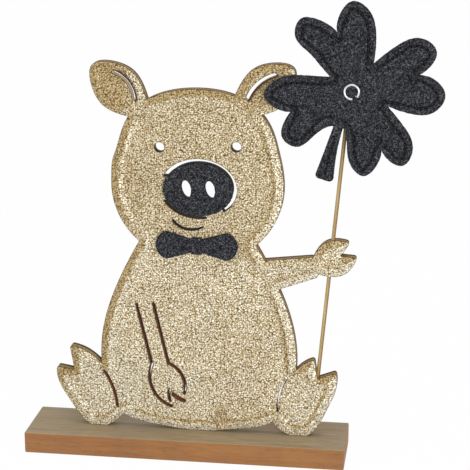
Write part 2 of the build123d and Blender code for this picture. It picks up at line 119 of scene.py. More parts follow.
class NodeSketch:
    """Adds and links nodes in one shader tree."""

    def __init__(self, tree: Tree) -> None:
        """Start from an empty tree."""
        self.tree = tree
        tree.nodes.clear()

    def add(self, kind: str, inputs: dict | None = None, **settings: object) -> Node:
        """Add one node.

        Args:
            kind: Node type without its ShaderNode prefix, or a whole type name.
            inputs: Values or sockets for the node's inputs, by name or number.
            **settings: Properties of the node.

        Returns:
            The new node.
        """
        node = self.tree.nodes.new(kind if kind.startswith("Node") else f"ShaderNode{kind}")
        for key, value in settings.items():
            setattr(node, key, value)
        for key, value in (inputs or {}).items():
            self.feed(node.inputs[key], value)
        return node

    def feed(self, socket: Socket, value: object) -> None:
        """Link an input to an output, or set its value.

        Args:
            socket: Input to feed.
            value: Output socket, or a plain value.
        """
        if isinstance(value, bpy.types.NodeSocket):
            self.tree.links.new(value, socket)
        else:
            socket.default_value = value

    def math(self, operation: str, *values: object, clamp: bool = False) -> Socket:
        """Add a Math node and return its output."""
        inputs = dict(enumerate(values))
        return self.add("Math", inputs, operation=operation, use_clamp=clamp).outputs[0]

    def vector(self, operation: str, *values: object) -> Socket:
        """Add a Vector Math node and return its vector output."""
        return self.add("VectorMath", dict(enumerate(values)), operation=operation).outputs[0]

    def scaled(self, source: object, share: object) -> Socket:
        """Multiply a vector or a colour by one number."""
        return self.add("VectorMath", {0: source, "Scale": share}, operation="SCALE").outputs[0]

    def axes(self, source: Socket) -> Outputs:
        """Split a vector into its three numbers."""
        return self.add("SeparateXYZ", {0: source}).outputs

    def normal(self) -> Socket:
        """Normal of the surface."""
        return self.add("NewGeometry").outputs["Normal"]

    def mark(self, name: str) -> Socket:
        """Value that a piece's mesh keeps under a name."""
        return self.add("Attribute", attribute_name=name).outputs["Fac"]

    def mix(self, share: object, first: object, second: object, blend: str = "MIX") -> Socket:
        """Mix two colours, the first at a share of 0 and the second at 1."""
        inputs = {0: share, 6: first, 7: second}
        return self.add("Mix", inputs, data_type="RGBA", blend_type=blend).outputs[2]

    def ramp(self, share: Socket, stops: Stops) -> Socket:
        """Turn a value into a colour by a row of stops.

        Args:
            share: Value from 0 to 1.
            stops: Place and colour of each stop, in order.

        Returns:
            The colour output.
        """
        node = self.add("ValToRGB", {"Fac": share})
        elements = node.color_ramp.elements
        while len(elements) < len(stops):
            elements.new(0.5)
        for element, (place, colour) in zip(elements, stops):
            element.position = place
            element.color = colour
        return node.outputs["Color"]

    def span(
        self, value: Socket, low: float, high: float, start: float = 0.0, end: float = 1.0
    ) -> Socket:
        """Map a value smoothly from low and high onto start and end."""
        inputs = {0: value, 1: low, 2: high, 3: start, 4: end}
        return self.add("MapRange", inputs, interpolation_type="SMOOTHSTEP").outputs[0]

    def noise(
        self, place: Socket, scale: object, detail: float = 3.0, roughness: float = 0.5
    ) -> Socket:
        """Add a noise texture.

        Args:
            place: Where the texture is read.
            scale: Features to the metre, one number or one for each axis.
            detail: Octaves.
            roughness: Weight of the finer octaves.

        Returns:
            The value output.
        """
        if isinstance(scale, tuple):
            place, scale = self.vector("MULTIPLY", place, scale), 1.0
        values = {"Vector": place, "Scale": scale, "Detail": detail, "Roughness": roughness}
        return self.add("TexNoise", values).outputs[0]


class GroupSketch(NodeSketch):
    """Sketch of a shader node group with named inputs and outputs."""

    def __init__(self, name: str, inputs: dict[str, Kind], outputs: dict[str, Kind]) -> None:
        """Make an empty group with its sockets.

        Args:
            name: Group's name.
            inputs: Kind of each input, by name.
            outputs: Kind of each output, by name.
        """
        super().__init__(bpy.data.node_groups.new(name, "ShaderNodeTree"))
        for way, sockets in (("INPUT", inputs), ("OUTPUT", outputs)):
            for label, kind in sockets.items():
                self.tree.interface.new_socket(label, in_out=way, socket_type=kind.value)
        given = self.add("NodeGroupInput")
        self.given = [given.outputs[label] for label in inputs]

    def finish(self, **values: Socket) -> Tree:
        """Link the group's outputs and return its tree."""
        self.add("NodeGroupOutput", values)
        return self.tree


class EffectGroups:
    """Shader node groups that several finishes share, each made once."""

    def __init__(self) -> None:
        """Make the groups."""
        self.grain = self._grain()
        self.fibres = self._fibres()
        self.unevenness = self._unevenness()

    def _grain(self) -> Tree:
        """Make long wood grain with pores along the group's X.

        Returns:
            The group's tree.
        """
        inputs = {"Place": VECTOR, "Pale": COLOUR, "Deep": COLOUR, "Contrast": VALUE}
        sketch = GroupSketch("WoodGrain", inputs, {"Color": COLOUR, "Height": VALUE})
        place, pale, deep, contrast = sketch.given
        drift = sketch.noise(place, (9.0, 60.0, 60.0), 2.0)
        bent = sketch.vector("ADD", place, sketch.scaled(drift, 0.02))
        rings = sketch.noise(bent, (14.0, 420.0, 420.0), 4.0, 0.6)
        fine = sketch.noise(place, (60.0, 2600.0, 2600.0), 2.0, 0.6)
        pores = sketch.span(sketch.noise(place, (150.0, 3800.0, 3800.0), 1.0), 0.62, 0.72)
        coarse = sketch.math("MULTIPLY", rings, 0.7)
        share = sketch.math("ADD", coarse, sketch.math("MULTIPLY", fine, 0.3))
        spread = sketch.math("MULTIPLY", sketch.math("SUBTRACT", share, 0.5), contrast)
        tone = sketch.math("ADD", sketch.math("MULTIPLY", spread, 2.4), 0.5, clamp=True)
        wood = sketch.mix(tone, pale, deep)
        pored = sketch.mix(sketch.math("MULTIPLY", pores, 0.45), wood, deep, "MULTIPLY")
        ridges, pits = (sketch.math("MULTIPLY", source, 0.6) for source in (fine, pores))
        return sketch.finish(Color=pored, Height=sketch.math("SUBTRACT", ridges, pits))

    def _fibres(self) -> Tree:
        """Make matted fibres: pale and dark hairs that lie every way, over a mottled ground.

        Returns:
            The group's tree.
        """
        inputs = {"Place": VECTOR, "Ground": COLOUR, "Pale": COLOUR, "Dark": COLOUR}
        sketch = GroupSketch("MattedFibres", inputs, {"Color": COLOUR, "Height": VALUE})
        place, ground, pale, dark = sketch.given
        warp = sketch.add("TexNoise", {"Vector": place, "Scale": 520.0, "Detail": 2.0})
        shift = sketch.vector("SUBTRACT", warp.outputs["Color"], MIDDLE)
        bent = sketch.vector("ADD", place, sketch.scaled(shift, 0.004))
        upright = sketch.noise(bent, (2100.0, 1100.0, 560.0), 2.0, 0.6)
        lying = sketch.noise(bent, (620.0, 1100.0, 2100.0), 2.0, 0.6)
        clumps = sketch.noise(place, 1100.0, 3.0, 0.7)
        both = sketch.math("MAXIMUM", upright, lying)
        hairs, clumped = sketch.span(both, 0.5, 0.68), sketch.span(clumps, 0.36, 0.6)
        shade = sketch.span(sketch.math("MINIMUM", upright, lying), 0.48, 0.34)
        shaded = sketch.mix(shade, ground, dark)
        colour = sketch.mix(sketch.math("MULTIPLY", hairs, clumped), shaded, pale)
        height = sketch.math("ADD", both, sketch.math("MULTIPLY", clumps, 0.8))
        return sketch.finish(Color=colour, Height=height)

    def _unevenness(self) -> Tree:
        """Make slow, cloudy changes of a colour, and a mask of the same clouds.

        Returns:
            The group's tree.
        """
        inputs = {"Place": VECTOR, "Color": COLOUR, "Scale": VALUE, "Amount": VALUE}
        sketch = GroupSketch("Unevenness", inputs, {"Color": COLOUR, "Mask": VALUE})
        place, colour, scale, amount = sketch.given
        mask = sketch.span(sketch.noise(place, scale, 4.0), 0.3, 0.7)
        swing = sketch.math("MULTIPLY", sketch.math("SUBTRACT", mask, 0.5), amount)
        shade = sketch.math("ADD", 1.0, swing)
        return sketch.finish(Color=sketch.scaled(colour, shade), Mask=mask)


class MaterialSketch(NodeSketch):
    """Sketch of a material around one Principled shader."""

    def __init__(self, material: Material, groups: EffectGroups) -> None:
        """Add the shader, its output and the object's own coordinates.

        Args:
            material: New material.
            groups: Shared shader groups.
        """
        material.use_nodes = True
        super().__init__(material.node_tree)
        self.groups = groups
        self.shader = self.add("BsdfPrincipled")
        self.add("OutputMaterial", {"Surface": self.shader.outputs[0]})
        self.place = self.add("TexCoord").outputs["Object"]

    def give(self, label: str, value: object) -> None:
        """Link or set one of the shader's own inputs."""
        self.feed(self.shader.inputs[label], value)

    def effect(self, tree: Tree, **inputs: object) -> Outputs:
        """Place a shared group, read at the object's coordinates unless a Place is given."""
        return self.add("Group", {"Place": self.place, **inputs}, node_tree=tree).outputs

    def clouds(self, colour: object, scale: float, amount: float) -> Outputs:
        """Make a colour uneven by a share, with so many clouds to the metre."""
        return self.effect(self.groups.unevenness, Color=colour, Scale=scale, Amount=amount)

    def bump(self, height: Socket, depth: float, strength: float) -> None:
        """Give the shader a bump of so many metres, used up to a share of its strength."""
        values = {"Height": height, "Distance": depth, "Strength": strength}
        self.give("Normal", self.add("Bump", values).outputs[0])


@dataclass(frozen=True)
class Finish:
    """Base of every finish: a named material around one Principled shader."""

    name: str

    def make(self, groups: EffectGroups) -> Material:
        """Build the material.

        Args:
            groups: Shared shader groups.

        Returns:
            The finished material.
        """
        material = bpy.data.materials.new(self.name)
        self.dress(MaterialSketch(material, groups))
        return material

    def dress(self, sketch: MaterialSketch) -> None:
        """Feed the shader's inputs; each finish has its own."""
        raise NotImplementedError


@dataclass(frozen=True)
class Oval:
    """Oval on the pig's front: its middle and half sizes in millimetres, and its strength."""

    across: float
    up: float
    wide: float
    high: float
    strength: float = 1.0

    def at(self, points: Array) -> Array:
        """Strength at some points.

        Args:
            points: Places on the pig's front.

        Returns:
            The strength, falling off softly at the oval.
        """
        aside = (points - (self.across, self.up)) / (self.wide, self.high)
        far = np.linalg.norm(aside, axis=1)
        return self.strength * np.clip((OVAL_END - far) / OVAL_FADE, 0, 1)

    def mask(self, sketch: MaterialSketch) -> Socket:
        """Mask of the oval in a material, through the whole depth of the board.

        Args:
            sketch: Material's sketch.

        Returns:
            One inside the oval, nought outside.
        """
        aside = sketch.vector("SUBTRACT", sketch.place, (self.across * MM, 0.0, self.up * MM))
        aside = sketch.vector("DIVIDE", aside, (self.wide * MM, 1.0, self.high * MM))
        far = sketch.add("VectorMath", {0: aside}, operation="LENGTH").outputs["Value"]
        return sketch.span(far, 1.05, 0.95)


SAWN_ARM = Oval(-15.5, 62, 24, 44)


@dataclass(frozen=True)
class GlitterFinish(Finish):
    """Gold glitter: flat flakes, each with its own tone and tilt, with painted light and shade
    along the rim.
    """

    flake: float = 0.58 * MM
    dust_share: float = 2.1
    speck: float = 1.2 * MM
    speck_order: float = 0.8
    tilt: float = 0.5
    shine: float = 0.15
    rough: tuple[float, float] = (0.32, 0.6)
    metal: float = 0.45
    cloud_scale: float = 95.0
    cloud_amount: float = 0.14
    luck_start: float = -0.08
    luck_weights: tuple[float, ...] = (0.58, 0.2, 0.48)
    shade_share: float = -0.92
    light_share: float = 0.62
    burnt_share: float = 0.95
    burnt: Colour = srgb(58, 30, 12)
    plain: Stops = (
        (0.12, srgb(88, 62, 24)),
        (0.3, srgb(154, 130, 84)),
        (0.5, srgb(188, 170, 130)),
        (0.7, srgb(224, 211, 178)),
        (0.85, srgb(255, 255, 246)),
    )
    # Painted shade: dark gold for the side of the rim that faces away from the light.
    deep: Stops = (
        (0.12, srgb(86, 60, 24)),
        (0.5, srgb(155, 130, 83)),
        (0.88, srgb(208, 185, 139)),
    )
    # Painted highlight: pale gold for the side of the rim that faces the light.
    rim_highlight: Stops = (
        (0.12, srgb(128, 110, 72)),
        (0.5, srgb(198, 186, 156)),
        (0.88, srgb(255, 254, 244)),
    )

    def dress(self, sketch: MaterialSketch) -> None:
        """Feed the shader's inputs.

        Args:
            sketch: Material's sketch.
        """
        values = {"Vector": sketch.place, "Randomness": 1.0}
        flakes = sketch.add("TexVoronoi", {**values, "Scale": 1 / self.flake})
        dust = sketch.add("TexVoronoi", {**values, "Scale": self.dust_share / self.flake})
        parts, small = (
            sketch.add("SeparateColor", {"Color": cells.outputs["Color"]}).outputs
            for cells in (flakes, dust)
        )
        across, _, up = sketch.axes(sketch.place)
        front = sketch.add("CombineXYZ", {0: across, 1: up}).outputs[0]
        values = {"Vector": front, "Scale": 1 / self.speck, "Randomness": self.speck_order}
        specks = sketch.add("TexVoronoi", values, voronoi_dimensions="2D")
        raised = sketch.span(specks.outputs["Distance"], 0.05, 0.7, 1.0, 0.0)
        luck: Socket | float = self.luck_start
        for share, weight in zip((parts[0], small[0], raised), self.luck_weights):
            luck = sketch.math("MULTIPLY_ADD", share, weight, luck)
        plain, deep, rim_highlight = (
            sketch.ramp(luck, stops) for stops in (self.plain, self.deep, self.rim_highlight)
        )
        clouds = sketch.clouds(plain, self.cloud_scale, self.cloud_amount)
        # Painted light and shade on the rim: the mark turns the coat to the dark gold stops where
        # the rim is shaded and to the pale ones where it is lit.
        tone, scorch = sketch.mark("rim_light_shade"), sketch.mark("scorch")
        rim_shaded = sketch.math("MULTIPLY", tone, self.shade_share, clamp=True)
        full = sketch.math("MULTIPLY", tone, self.light_share, clamp=True)
        toned = sketch.mix(full, sketch.mix(rim_shaded, clouds["Color"], deep), rim_highlight)
        burnt = sketch.math("MULTIPLY", scorch, self.burnt_share)
        sketch.give("Base Color", sketch.mix(burnt, toned, self.burnt))
        lean = sketch.vector("SUBTRACT", flakes.outputs["Color"], MIDDLE)
        tilted = sketch.vector("ADD", sketch.normal(), sketch.scaled(lean, self.tilt))
        sketch.give("Normal", sketch.vector("NORMALIZE", tilted))
        sketch.give("Specular IOR Level", self.shine)
        rough = sketch.span(parts[1], 0.0, 1.0, *self.rough)
        sketch.give("Roughness", sketch.math("MAXIMUM", rough, scorch))
        metal = sketch.span(parts[2], 0.55, 0.95, 0.0, self.metal)
        unburnt = sketch.math("SUBTRACT", 1.0, scorch)
        sketch.give("Metallic", sketch.math("MULTIPLY", metal, unburnt))


@dataclass(frozen=True)
class FibreFinish(Finish):
    """Matted felt or spun thread, dark and flecked, with painted shade in seam grooves, creases and
    along cut edges.
    """

    ground: Colour = srgb(32, 33, 37)
    pale: Colour = srgb(114, 115, 121)
    dark: Colour = srgb(7, 7, 9)
    painted_shade: Colour = srgb(3, 3, 4)
    rough: float = 0.95
    shine: float = 0.08
    fuzz: float = 0.03
    fuzz_rough: float = 0.6
    depth: float = 0.25 * MM
    bump: float = 0.7

    def dress(self, sketch: MaterialSketch) -> None:
        """Feed the shader's inputs.

        Args:
            sketch: Material's sketch.
        """
        colours = {"Ground": self.ground, "Pale": self.pale, "Dark": self.dark}
        wool = sketch.effect(sketch.groups.fibres, **colours)
        # Painted shade: darker where the mesh marks it, in grooves, creases and along cut edges.
        sketch.give("Base Color", sketch.mix(sketch.mark("painted_shade"), wool["Color"], self.painted_shade))
        sketch.give("Roughness", self.rough)
        sketch.give("Specular IOR Level", self.shine)
        sketch.give("Sheen Weight", self.fuzz)
        sketch.give("Sheen Roughness", self.fuzz_rough)
        sketch.bump(wool["Height"], self.depth, self.bump)


@dataclass(frozen=True)
class BaseWoodFinish(Finish):
    """Stained base board: brown sides, and a greyer top that is painted sheen, with grain along the
    board.
    """

    sides: tuple[Colour, Colour, float] = (srgb(166, 116, 68), srgb(144, 96, 51), 1.0)
    # Greyer, paler top colours: painted sheen.
    top: tuple[Colour, Colour, float] = (srgb(178, 158, 126), srgb(150, 131, 102), 1.2)
    cloud_scale: float = 38.0
    cloud_amount: float = 0.14
    rough: tuple[float, float] = (0.55, 0.7)
    depth: float = 0.12 * MM
    bump: float = 0.6

    def dress(self, sketch: MaterialSketch) -> None:
        """Feed the shader's inputs.

        Args:
            sketch: Material's sketch.
        """
        side, top = (
            sketch.effect(sketch.groups.grain, Pale=pale, Deep=deep, Contrast=contrast)
            for pale, deep, contrast in (self.sides, self.top)
        )
        # Painted sheen: faces that look up take the greyer top colours.
        painted_sheen_top = sketch.span(sketch.axes(sketch.normal())[2], 0.4, 0.9)
        stain_and_sheen = sketch.mix(painted_sheen_top, side["Color"], top["Color"])
        clouds = sketch.clouds(stain_and_sheen, self.cloud_scale, self.cloud_amount)
        sketch.give("Base Color", clouds["Color"])
        sketch.give("Roughness", sketch.span(clouds["Mask"], 0.0, 1.0, *self.rough))
        sketch.bump(side["Height"], self.depth, self.bump)


@dataclass(frozen=True)
class StickWoodFinish(Finish):
    """Plain light stick with fine grain along it, and painted shade on its right side."""

    pale: Colour = srgb(204, 181, 126)
    deep: Colour = srgb(166, 140, 86)
    contrast: float = 1.2
    painted_shade_right: Colour = srgb(138, 105, 52)
    rough: tuple[float, float] = (0.65, 0.5)
    depth: float = 0.06 * MM
    bump: float = 0.6

    def dress(self, sketch: MaterialSketch) -> None:
        """Feed the shader's inputs.

        Args:
            sketch: Material's sketch.
        """
        across, depth, up = sketch.axes(sketch.place)
        turned = sketch.add("CombineXYZ", {0: up, 1: across, 2: depth}).outputs[0]
        colours = {"Pale": self.pale, "Deep": self.deep, "Contrast": self.contrast}
        wood = sketch.effect(sketch.groups.grain, Place=turned, **colours)
        # Painted shade: darker where the surface faces right.
        painted_shade_right = sketch.span(sketch.axes(sketch.normal())[0], -0.1, 0.7)
        sketch.give("Base Color", sketch.mix(painted_shade_right, wood["Color"], self.painted_shade_right))
        sketch.give("Roughness", sketch.span(painted_shade_right, 0.0, 1.0, *self.rough))
        sketch.bump(wood["Height"], self.depth, self.bump)


@dataclass(frozen=True)
class ScorchedBoardFinish(Finish):
    """Fibreboard: gold over the front of its edge, burnt behind and in slits, raw at the back; slit
    walls painted lighter and ear slot walls painted pale cream, as painted light.
    """

    slits: tuple[Oval, ...] = (SAWN_ARM, Oval(-48, 38.5, 6, 15), Oval(59.5, 39.5, 6, 14))
    face: tuple[Oval, ...] = (Oval(8.5, 173, 34, 34),)
    # Ear slots whose walls are painted pale cream, as painted light.
    ears: tuple[Oval, ...] = (
        Oval(-39.5, 238, 4.8, 4.8),
        Oval(-34.5, 232.5, 4.8, 4.8),
        Oval(-30.2, 225.5, 4.8, 4.8),
        Oval(38, 225.5, 4.8, 4.8),
        Oval(43, 232, 4.8, 4.8),
        Oval(50.5, 237, 5.6, 4.8),
    )
    wrap_end: float = 0.7 * MM
    wrap_start: float = -0.3 * MM
    streak_stops: tuple[float, ...] = (0.3, 0.55, 0.8)
    outer: Shades = (srgb(40, 22, 8), srgb(66, 40, 18), srgb(100, 66, 36))
    # Slit walls: burnt browns painted lighter than the outer walls, as painted light against the
    # shade inside the slits.
    inner: Shades = (srgb(122, 66, 26), srgb(162, 92, 40), srgb(190, 118, 60))
    gold: Shades = (srgb(132, 102, 54), srgb(164, 136, 82), srgb(198, 172, 120))
    painted_light_ear_wall: Colour = srgb(236, 224, 200)
    raw: Shades = (srgb(150, 116, 80), srgb(176, 142, 102), srgb(116, 84, 54))
    streak_scale: Spot = (900.0, 40.0, 900.0)
    cloud_scale: float = 30.0
    cloud_amount: float = 0.22
    rough: tuple[float, float] = (0.7, 0.95)
    depth: float = 0.12 * MM
    bump: float = 0.5

    def dress(self, sketch: MaterialSketch) -> None:
        """Feed the shader's inputs.

        Args:
            sketch: Material's sketch.
        """
        back = sketch.span(sketch.axes(sketch.normal())[1], 0.5, 0.95)
        streaks = sketch.noise(sketch.place, self.streak_scale)
        outer, inner, gold = (
            sketch.ramp(streaks, list(zip(self.streak_stops, shades)))
            for shades in (self.outer, self.inner, self.gold)
        )
        slit_light_mask, on_face, ear_light_mask = (
            self.within(sketch, ovals) for ovals in (self.slits, self.face, self.ears)
        )
        wrapped = sketch.span(sketch.axes(sketch.place)[1], self.wrap_end, self.wrap_start)
        wrapped = sketch.math("MULTIPLY", wrapped, sketch.math("SUBTRACT", 1.0, on_face))
        edge = sketch.mix(ear_light_mask, sketch.mix(wrapped, outer, gold), self.painted_light_ear_wall)
        # Painted light: the slits use the lighter burnt browns.
        burnt = sketch.mix(slit_light_mask, edge, inner)
        colours = dict(zip(("Ground", "Pale", "Dark"), self.raw))
        raw = sketch.effect(sketch.groups.fibres, **colours)["Color"]
        clouds = sketch.clouds(raw, self.cloud_scale, self.cloud_amount)
        sketch.give("Base Color", sketch.mix(back, burnt, clouds["Color"]))
        sketch.give("Roughness", sketch.span(streaks, 0.2, 0.8, *self.rough))
        sketch.bump(streaks, self.depth, self.bump)

    @staticmethod
    def within(sketch: MaterialSketch, ovals: Sequence[Oval]) -> Socket | float:
        """Mask of some ovals.

        Args:
            sketch: Material's sketch.
            ovals: Ovals to mark.

        Returns:
            One inside any of the ovals, nought outside.
        """
        mask: Socket | float = 0.0
        for oval in ovals:
            mask = sketch.math("MAXIMUM", mask, oval.mask(sketch))
        return mask


@dataclass(frozen=True)
class MetalFinish(Finish):
    """Bare metal with fine drawing marks and a little dulling."""

    colour: Colour = srgb(204, 204, 206)
    smooth: float = 0.28
    dull: float = 0.5
    cloud_scale: float = 420.0
    cloud_amount: float = 0.12
    mark_scale: float = 2600.0
    depth: float = 0.02 * MM
    bump: float = 0.4

    def dress(self, sketch: MaterialSketch) -> None:
        """Feed the shader's inputs.

        Args:
            sketch: Material's sketch.
        """
        clouds = sketch.clouds(self.colour, self.cloud_scale, self.cloud_amount)
        sketch.give("Base Color", clouds["Color"])
        sketch.give("Roughness", sketch.span(clouds["Mask"], 0.0, 1.0, self.smooth, self.dull))
        sketch.give("Metallic", 1.0)
        marks = sketch.noise(sketch.place, self.mark_scale, 2.0)
        sketch.bump(marks, self.depth, self.bump)


# Outlines and reliefs


def joint(name: str) -> dict:
    """Joint of the frame that has a name."""
    return next(found for found in frame["joints"] if found["name"] == name)


def new_piece(name: str, points: Array, faces: list, finish: Material) -> Piece:
    """Make a smooth object and put it in the scene.

    Args:
        name: Object's name.
        points: Points in metres, one a row.
        faces: Point numbers of each face.
        finish: Material of the object.

    Returns:
        The new object.
    """
    mesh = bpy.data.meshes.new(name)
    mesh.from_pydata(points.tolist(), [], faces)
    mesh.polygons.foreach_set("use_smooth", [True] * len(mesh.polygons))
    mesh.materials.append(finish)
    mesh.update()
    piece = bpy.data.objects.new(name, mesh)
    bpy.context.scene.collection.objects.link(piece)
    return piece


@dataclass
class FlatPlace:
    """Plane that an outline is drawn on, in the shared frame, in metres."""

    origin: Vector
    across: Vector
    up: Vector
    out: Vector

    @classmethod
    def facing_front(cls, depth: float) -> "FlatPlace":
        """Plane at a depth that faces the front."""
        right, up, front = Vector((1, 0, 0)), Vector((0, 0, 1)), Vector((0, -1, 0))
        return cls(Vector((0, depth, 0)), right, up, front)

    def flatten(self, points: Array) -> tuple[Array, Array]:
        """Read points of the shared frame on the plane.

        Args:
            points: Points in metres, one a row.

        Returns:
            Their places on the plane and their heights above it, in millimetres.
        """
        moved = (points - np.array(self.origin)) / MM
        flat = np.stack([moved @ np.array(self.across), moved @ np.array(self.up)], axis=1)
        return flat, moved @ np.array(self.out)

    def raised(self, flat: Array, heights: Array) -> Array:
        """Put points of the plane, in millimetres, back in the shared frame, in metres."""
        axes = np.array([self.across, self.up, self.out])
        return np.array(self.origin) + np.column_stack([flat, heights]) @ axes * MM


def read_loops(node: str, place: FlatPlace, face: Face) -> list[Array]:
    """Read the outlines of a CAD node's lowest or highest flat face.

    Args:
        node: Name of the CAD node.
        place: Plane that the face is parallel to.
        face: Which face is read.

    Returns:
        Closed loops in millimetres on the plane, the longest first.
    """
    mesh = frame["nodes"][node].data
    points = np.empty(len(mesh.vertices) * 3, np.float32)
    mesh.vertices.foreach_get("co", points)
    flat, heights = place.flatten(points.reshape(-1, 3).astype(float))
    level = heights.min() if face is Face.LOW else heights.max()
    keys = [tuple(np.round(p, 3)) for p in flat]
    uses: dict[tuple, int] = {}
    spots: dict[tuple, Array] = {}
    for polygon in mesh.polygons:
        corners = list(polygon.vertices)
        if max(abs(heights[v] - level) for v in corners) > FLAT_WITHIN:
            continue
        for first, second in zip(corners, corners[1:] + corners[:1]):
            edge = tuple(sorted((keys[first], keys[second])))
            uses[edge] = uses.get(edge, 0) + 1
            spots[keys[first]] = flat[first]
    nexts: dict[tuple, list[tuple]] = {}
    for (first, second), count in uses.items():
        if count == 1 and first != second:
            nexts.setdefault(first, []).append(second)
            nexts.setdefault(second, []).append(first)
    loops = []
    while nexts:
        start = next(iter(nexts))
        chain = [start]
        while options := nexts.get(chain[-1]):
            step = options.pop()
            nexts[step].remove(chain[-1])
            if step == start:
                break
            chain.append(step)
        for key in [k for k, v in nexts.items() if not v]:
            del nexts[key]
        if len(chain) > 2:
            loops.append(np.array([spots[k] for k in chain]))
    return sorted(loops, key=loop_length, reverse=True)


def loop_length(loop: Array) -> float:
    """Length round a closed loop."""
    return float(np.linalg.norm(np.roll(loop, -1, axis=0) - loop, axis=1).sum())


def loop_area(loop: Array) -> float:
    """Signed area of a closed loop, positive where it runs anticlockwise."""
    after = np.roll(loop, -1, axis=0)
    return float((loop[:, 0] * after[:, 1] - after[:, 0] * loop[:, 1]).sum() / 2)


def lengths_along(line: Array) -> Array:
    """Length from the start of an open line to each of its points."""
    return np.concatenate([[0], np.cumsum(np.linalg.norm(np.diff(line, axis=0), axis=1))])


def points_along(line: Array, spots: Array) -> Array:
    """Points of an open line at some lengths from its start."""
    lengths = lengths_along(line)
    return np.column_stack([np.interp(spots, lengths, line[:, axis]) for axis in (0, 1)])


def even_loop(loop: Array, spacing: float) -> Array:
    """Divide a loop's long runs and drop points that nearly coincide.

    Args:
        loop: Closed loop.
        spacing: Longest run that is left.

    Returns:
        The loop with runs of about the spacing.
    """
    kept = [loop[0]]
    for point in loop[1:]:
        if np.linalg.norm(point - kept[-1]) > 0.2 * spacing:
            kept.append(point)
    made = []
    for first, second in zip(kept, kept[1:] + kept[:1]):
        count = max(1, math.ceil(np.linalg.norm(second - first) / spacing))
        made.extend(first + (second - first) * step / count for step in range(count))
    return np.array(made)


def inward(loop: Array) -> Array:
    """Unit normals of a loop, to the left of its run.

    Args:
        loop: Closed loop.

    Returns:
        One normal for each point.
    """
    runs = np.roll(loop, -1, axis=0) - loop
    runs /= np.linalg.norm(runs, axis=1, keepdims=True)
    mean = runs + np.roll(runs, 1, axis=0)
    mean /= np.maximum(np.linalg.norm(mean, axis=1, keepdims=True), TINY)
    return np.stack([-mean[:, 1], mean[:, 0]], axis=1)


def nearest_on_runs(points: Array, starts: Array, ends: Array) -> tuple[Array, Array]:
    """Distance from points to the nearest of many straight runs.

    Args:
        points: Points to measure.
        starts: Start of each run.
        ends: End of each run.

    Returns:
        The distances, and the unit directions from the nearest places to the points.
    """
    tree = KDTree(len(starts))
    for number, middle in enumerate((starts + ends) / 2):
        tree.insert((*middle, 0.0), number)
    tree.balance()
    count = min(NEAR_RUNS, len(starts))
    close = np.array([[hit[1] for hit in tree.find_n((*point, 0.0), count)] for point in points])
    along = (ends - starts)[close]
    square = np.maximum((along**2).sum(2), 1e-12)
    share = np.clip(((points[:, None] - starts[close]) * along).sum(2) / square, 0, 1)
    gap = points[:, None] - (starts[close] + share[..., None] * along)
    far = np.linalg.norm(gap, axis=2)
    best = far.argmin(1)
    row = np.arange(len(points))
    return far[row, best], gap[row, best] / np.maximum(far[row, best], TINY)[:, None]


@dataclass(frozen=True)
class Cut:
    """How a flat piece is cut and divided, in millimetres.

    The spacing is that of the points along its edge, the rings are the distances inside the edge
    where more points lie, and the grid is the spacing of those farther in.
    """

    spacing: float
    grid: float
    rings: tuple[float, ...]
    frayed: float = 0.0
    ring_kept: float = 0.97
    grid_gap: float = 0.4


class CutOutline:
    """Outer loop and openings of a flat piece, with its material on the left of every loop."""

    def __init__(self, loops: list[Array], cut: Cut) -> None:
        """Even out the loops and fray them.

        Args:
            loops: Closed loops, the outer one first.
            cut: How the piece is cut.
        """
        self.loops: list[Array] = []
        random = np.random.default_rng(SEED)
        for number, loop in enumerate(loops):
            turned = loop if (loop_area(loop) > 0) == (number == 0) else loop[::-1]
            even = even_loop(turned, cut.spacing)
            if cut.frayed:
                stray = random.normal(0, 1, len(even))
                stray = (stray + np.roll(stray, 1) + np.roll(stray, -1)) / 2
                even = even + inward(even) * (np.abs(stray) * cut.frayed)[:, None]
            self.loops.append(even)

    def area(self) -> float:
        """Area inside the outer loop less the openings, in square metres."""
        areas = [abs(loop_area(loop)) for loop in self.loops]
        return (2 * areas[0] - sum(areas)) * MM**2

    def runs(self, outer_only: bool = False) -> tuple[Array, Array]:
        """Starts and ends of the runs of all the loops or of the outer one."""
        loops = self.loops[:1] if outer_only else self.loops
        return np.concatenate(loops), np.concatenate([np.roll(loop, -1, axis=0) for loop in loops])

    def inside(self, points: Array) -> Array:
        """Which points lie in the material.

        Args:
            points: Points to test.

        Returns:
            True or false for each point.
        """
        starts, ends = self.runs()
        lows, highs = np.minimum(starts[:, 1], ends[:, 1]), np.maximum(starts[:, 1], ends[:, 1])
        found = np.zeros(len(points), bool)
        order = points[:, 1].argsort()
        for strip in np.array_split(order, max(1, len(points) // STRIP_POINTS)):
            if not len(strip):
                continue
            across, up = points[strip, :1], points[strip, 1:]
            near = (lows <= up.max()) & (highs >= up.min())
            first, last = starts[near], ends[near]
            spans = (first[:, 1] > up) != (last[:, 1] > up)
            rise = np.where(first[:, 1] == last[:, 1], 1.0, last[:, 1] - first[:, 1])
            cross = first[:, 0] + (up - first[:, 1]) * (last[:, 0] - first[:, 0]) / rise
            found[strip] = (spans & (across < cross)).sum(1) % 2 == 1
        return found

    def nearest(self, points: Array, outer_only: bool = False) -> tuple[Array, Array]:
        """Distance to the outline and the unit direction from its nearest place to each point."""
        return nearest_on_runs(points, *self.runs(outer_only))


